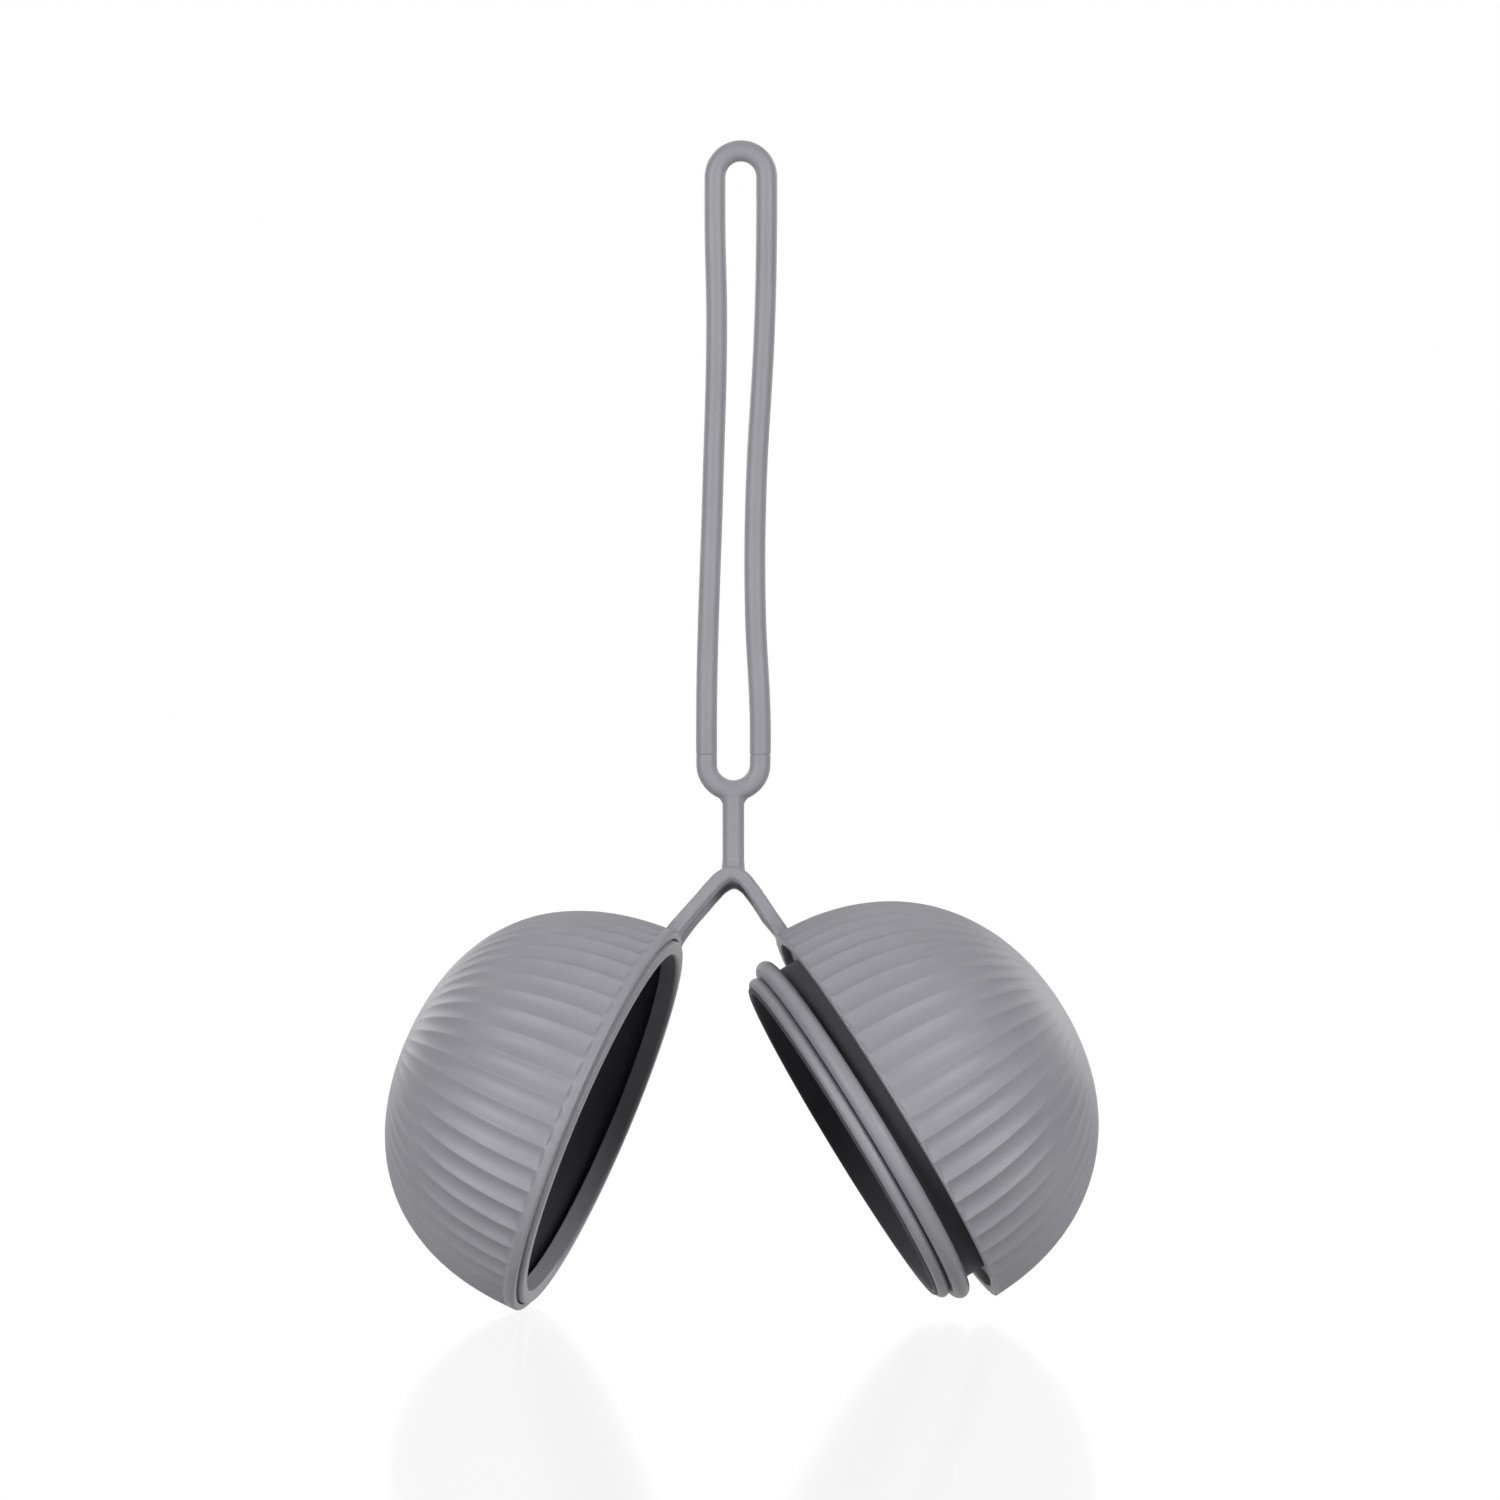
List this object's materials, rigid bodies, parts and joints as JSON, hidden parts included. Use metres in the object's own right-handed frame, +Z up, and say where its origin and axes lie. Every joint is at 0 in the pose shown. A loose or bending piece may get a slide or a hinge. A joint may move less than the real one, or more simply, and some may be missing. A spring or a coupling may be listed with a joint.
{
  "type": "hinged ball case with hanging loop",
  "caption": "Soft silicone ball case of two fluted bowls on flexible straps, with a lipped socket, a beaded snap plug and a long cord loop for hanging.",
  "frame": {"origin": "The point where the case hangs: the inside of the loop's top bend.", "axes": "+Z up along the loop, +X from the socket half to the plug half, -Y the front that the bowls lean towards."},
  "size_m": [0.1035, 0.0611, 0.171],
  "materials": {
    "grey_silicone": "moulded silicone, satin matte, warm grey",
    "dark_liner": "moulded silicone, matte, near-black grey"
  },
  "bodies": {
    "loop": {"hanging_loop": "grey_silicone"},
    "stem": {"stem": "grey_silicone"},
    "saddle": {"saddle": "grey_silicone"},
    "socket_strap": {"socket_strap": "grey_silicone"},
    "socket_bowl": {"socket_shell": "grey_silicone", "socket_lip": "grey_silicone", "socket_liner": "dark_liner"},
    "plug_strap": {"plug_strap": "grey_silicone"},
    "plug_bowl": {"plug_shell": "grey_silicone", "plug_collar": "grey_silicone", "plug_snap_bead": "grey_silicone", "plug_tip_bead": "grey_silicone", "plug_liner": "dark_liner"}
  },
  "joints": [
    {"name": "loop_sway", "type": "hinge", "parent": "loop", "child": "stem", "pos_m": [-0.0011, 0, -0.0956], "axis": [0, 1, 0], "range_deg": [-45, 45], "stiffness_Nm_per_rad": 0.02, "springref_deg": -5.76},
    {"name": "stem_fold", "type": "hinge", "parent": "stem", "child": "saddle", "pos_m": [-0.0011, 0, -0.1026], "axis": [1, 0, 0], "range_deg": [-45, 75], "stiffness_Nm_per_rad": 0.02, "springref_deg": -9.03},
    {"name": "socket_strap_swing", "type": "hinge", "parent": "saddle", "child": "socket_strap", "pos_m": [-0.0028, -0.0009, -0.10588], "axis": [0, 0.9641, -0.2656], "range_deg": [-48.5, 26.5], "stiffness_Nm_per_rad": 0.01, "springref_deg": 15.35},
    {"name": "socket_bowl_tilt", "type": "hinge", "parent": "socket_strap", "child": "socket_bowl", "pos_m": [-0.00894, -0.00235, -0.11112], "axis": [0, 0.9641, -0.2656], "range_deg": [-14.4, 26]},
    {"name": "plug_strap_swing", "type": "hinge", "parent": "saddle", "child": "plug_strap", "pos_m": [0.0006, -0.0009, -0.10588], "axis": [0, -0.9641, 0.2656], "range_deg": [-37.4, 37.6], "stiffness_Nm_per_rad": 0.01, "springref_deg": 32.8},
    {"name": "plug_bowl_tilt", "type": "hinge", "parent": "plug_strap", "child": "plug_bowl", "pos_m": [0.00558, -0.00263, -0.11216], "axis": [0, -0.9641, 0.2656], "range_deg": [-5.7, 5.7], "deforming": ["plug_snap_bead", "plug_tip_bead"]}
  ],
  "couplings": [
    {"joint": "socket_bowl_tilt", "follows": "socket_strap_swing", "ratio": -0.52784},
    {"joint": "plug_bowl_tilt", "follows": "plug_strap_swing", "ratio": -0.14171}
  ]
}
